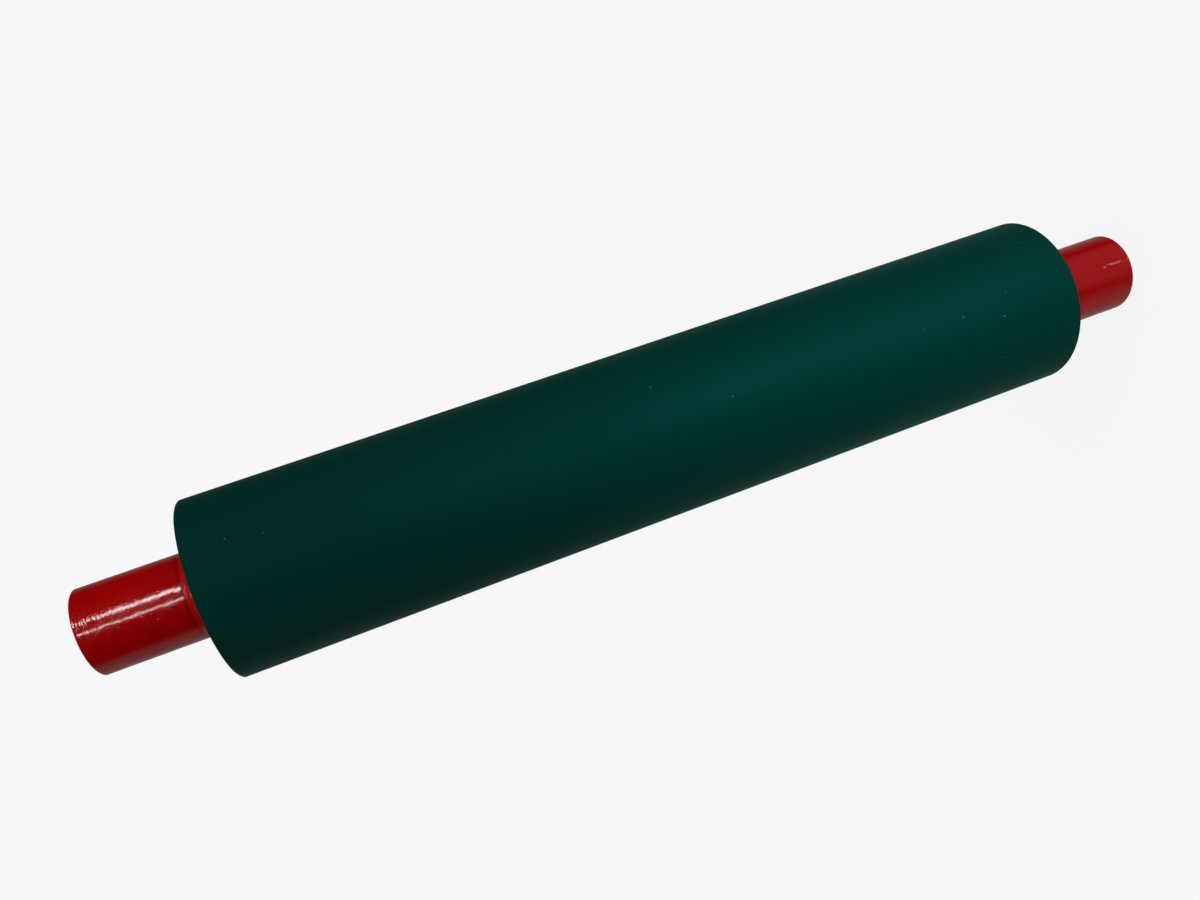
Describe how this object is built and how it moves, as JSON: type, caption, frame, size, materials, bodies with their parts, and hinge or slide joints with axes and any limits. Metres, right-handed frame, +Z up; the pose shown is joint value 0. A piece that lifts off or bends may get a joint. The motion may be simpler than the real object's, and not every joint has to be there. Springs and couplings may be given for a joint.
{
  "type": "ink form roller",
  "caption": "Rubber covered ink form roller: a ground rubber cover vulcanised on a red painted steel core whose round journals stand out at both ends.",
  "frame": {"origin": "middle of the flat end of the lower journal, on which the roller stands", "axes": "+Z up along the roller's axis; the roller is the same all round, so X and Y are any two directions across it"},
  "size_m": [0.06, 0.06, 0.3837],
  "materials": {
    "cover_rubber": "ground, dark green, matt to satin",
    "core_paint": "glossy red enamel over turned steel"
  },
  "bodies": {
    "root": {"rubber_cover": "cover_rubber", "core_tube": "core_paint", "lower_journal": "core_paint", "upper_journal": "core_paint"}
  },
  "joints": []
}
